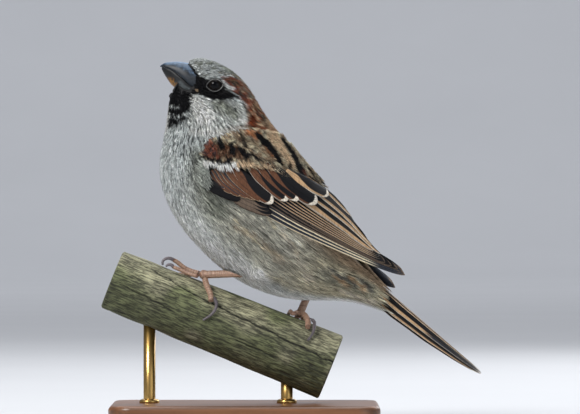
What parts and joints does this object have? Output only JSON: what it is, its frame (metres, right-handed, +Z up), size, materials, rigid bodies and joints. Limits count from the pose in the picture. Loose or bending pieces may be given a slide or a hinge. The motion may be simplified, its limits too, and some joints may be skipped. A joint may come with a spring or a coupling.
{
  "type": "house sparrow",
  "caption": "Life-size male house sparrow, perched on a sloping cut length of branch with one foot forward and the tail low, on a small wooden display stand.",
  "frame": {"origin": "middle of the underside of the stand's base", "axes": "+Z up; the bird faces -X, and its left side faces -Y"},
  "size_m": [0.1269, 0.07, 0.1228],
  "materials": {
    "feather_grey": "soft matte feather, grey to buff with fine dark shafts",
    "feather_crown": "soft matte feather, grey crown, black bib and lores, pale cheeks",
    "feather_neck": "soft matte feather, chestnut nape and pale collar",
    "feather_wing": "satin flight feather, black centres and chestnut or buff edges",
    "feather_tail": "satin flight feather, dark brown with thin buff edges",
    "eye": "wet gloss, dark brown iris and black pupil",
    "bill": "horn, grey-black with an ochre base to the lower half",
    "leg_skin": "scaled skin, pinkish brown with darker joints",
    "claw": "horn, dark grey-brown",
    "bark": "weathered bark, grey-brown with olive-green algae",
    "stand_wood": "dark wood, satin lacquer",
    "stand_brass": "brushed brass"
  },
  "bodies": {
    "root": {"trunk": "feather_grey", "neck": "feather_neck", "head": "feather_crown", "bill_upper": "bill", "bill_lower": "bill", "eye_left": "eye", "eye_right": "eye", "wing_left": "feather_wing", "wing_right": "feather_wing", "tail": "feather_tail", "thigh_left": "feather_grey", "thigh_right": "feather_grey", "tarsus_left": "leg_skin", "tarsus_right": "leg_skin", "toe_left_middle": "leg_skin", "claw_left_middle": "claw", "toe_left_inner": "leg_skin", "claw_left_inner": "claw", "toe_left_outer": "leg_skin", "claw_left_outer": "claw", "toe_left_hind": "leg_skin", "claw_left_hind": "claw", "toe_right_middle": "leg_skin", "claw_right_middle": "claw", "toe_right_inner": "leg_skin", "claw_right_inner": "claw", "toe_right_outer": "leg_skin", "claw_right_outer": "claw", "toe_right_hind": "leg_skin", "claw_right_hind": "claw", "perch": "bark", "stand_base": "stand_wood", "stand_rod_front": "stand_brass", "stand_rod_back": "stand_brass"}
  },
  "joints": []
}
